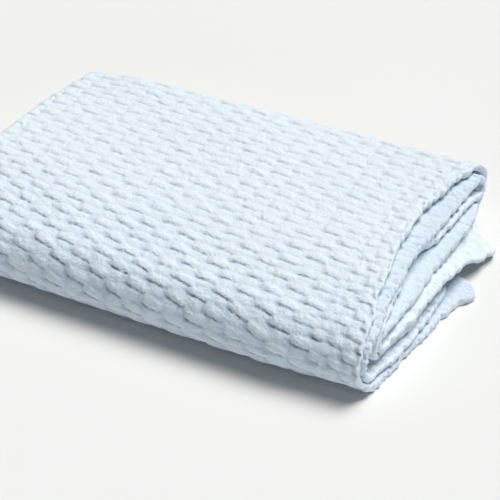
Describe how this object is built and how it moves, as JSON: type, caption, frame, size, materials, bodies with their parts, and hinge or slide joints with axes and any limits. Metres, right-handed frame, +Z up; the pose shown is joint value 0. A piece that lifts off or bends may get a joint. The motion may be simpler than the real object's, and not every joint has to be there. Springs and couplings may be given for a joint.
{
  "type": "baby blanket",
  "caption": "Thick pale blue baby blanket of lofty basket-woven cotton, folded into a flat bundle with its layered edges fanned at one end.",
  "frame": {"origin": "middle of the folded bundle's bounding box, on the surface it lies on", "axes": "+X along the bundle to the end where the layers' edges show, +Y to its back, +Z up"},
  "size_m": [0.4037, 0.2639, 0.0572],
  "materials": {
    "cotton": "matte, lofty basket weave"
  },
  "bodies": {
    "root": {"blanket": "cotton"}
  },
  "joints": []
}
